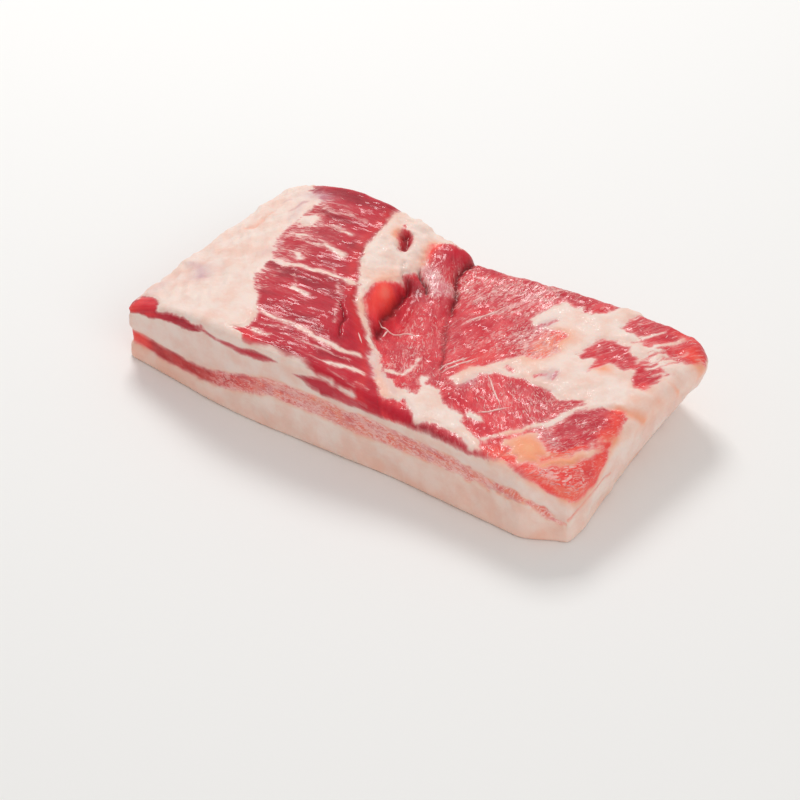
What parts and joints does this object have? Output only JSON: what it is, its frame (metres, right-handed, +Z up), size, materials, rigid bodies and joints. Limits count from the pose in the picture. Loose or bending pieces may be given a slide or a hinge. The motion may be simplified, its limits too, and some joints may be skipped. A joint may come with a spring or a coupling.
{
  "type": "raw pork belly slab",
  "caption": "Thick rectangular slab of raw belly meat lying fat side down, with wavy layers of fat and lean at its cut sides and a humped, creased muscle face on top.",
  "frame": {"origin": "centre of the slab's outline on its flat underside", "axes": "+X along the long side towards the undercut end, +Y from the front cut side to the back side, +Z up"},
  "size_m": [0.2374, 0.1312, 0.0456],
  "materials": {
    "base_fat": "moist pale pink fat",
    "lean_streak": "moist marbled lean",
    "fat_seam": "moist cream fat",
    "upper_streak": "moist dark lean",
    "top_lean": "wet crimson muscle with cream fat patches"
  },
  "bodies": {
    "root": {"base_fat": "base_fat", "lean_streak": "lean_streak", "fat_seam": "fat_seam", "upper_streak": "upper_streak", "top_lean": "top_lean"}
  },
  "joints": []
}
